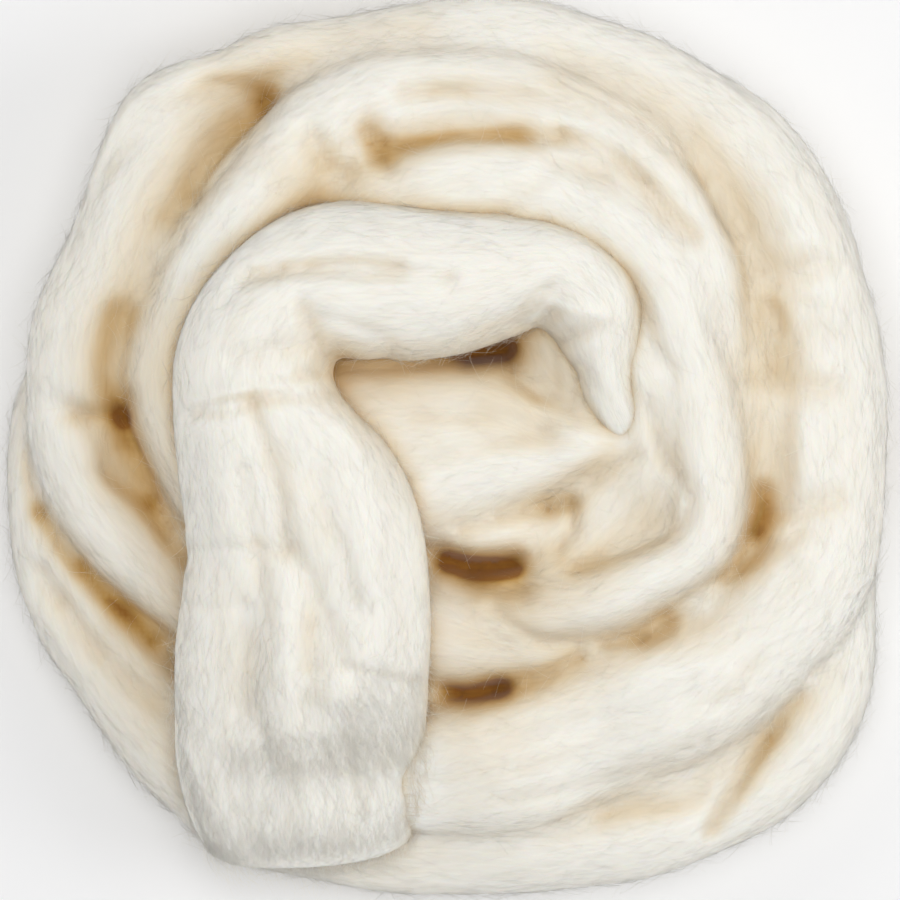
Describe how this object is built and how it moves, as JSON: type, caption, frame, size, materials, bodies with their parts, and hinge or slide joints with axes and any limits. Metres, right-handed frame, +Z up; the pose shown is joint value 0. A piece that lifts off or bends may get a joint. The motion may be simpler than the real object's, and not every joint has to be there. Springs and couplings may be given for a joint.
{
  "type": "wool roving coil",
  "caption": "Loose coil of undyed cream wool roving, wound in a flat round nest with its feathered loose end lapped over the top.",
  "frame": {"origin": "middle of the bounding box's base, on the surface that the coil rests on", "axes": "+Z up, through the thickness of the flat coil; the loose end runs forward, towards -Y, over the front rim"},
  "size_m": [0.2604, 0.2628, 0.0829],
  "materials": {
    "coil_wool": "undyed cream combed wool, matt with a faint silky sheen along the fibres",
    "loose_end_wool": "undyed cream combed wool, spread thin, matt with a faint silky sheen along the fibres"
  },
  "bodies": {
    "root": {"coil": "coil_wool", "loose_end": "loose_end_wool"}
  },
  "joints": []
}
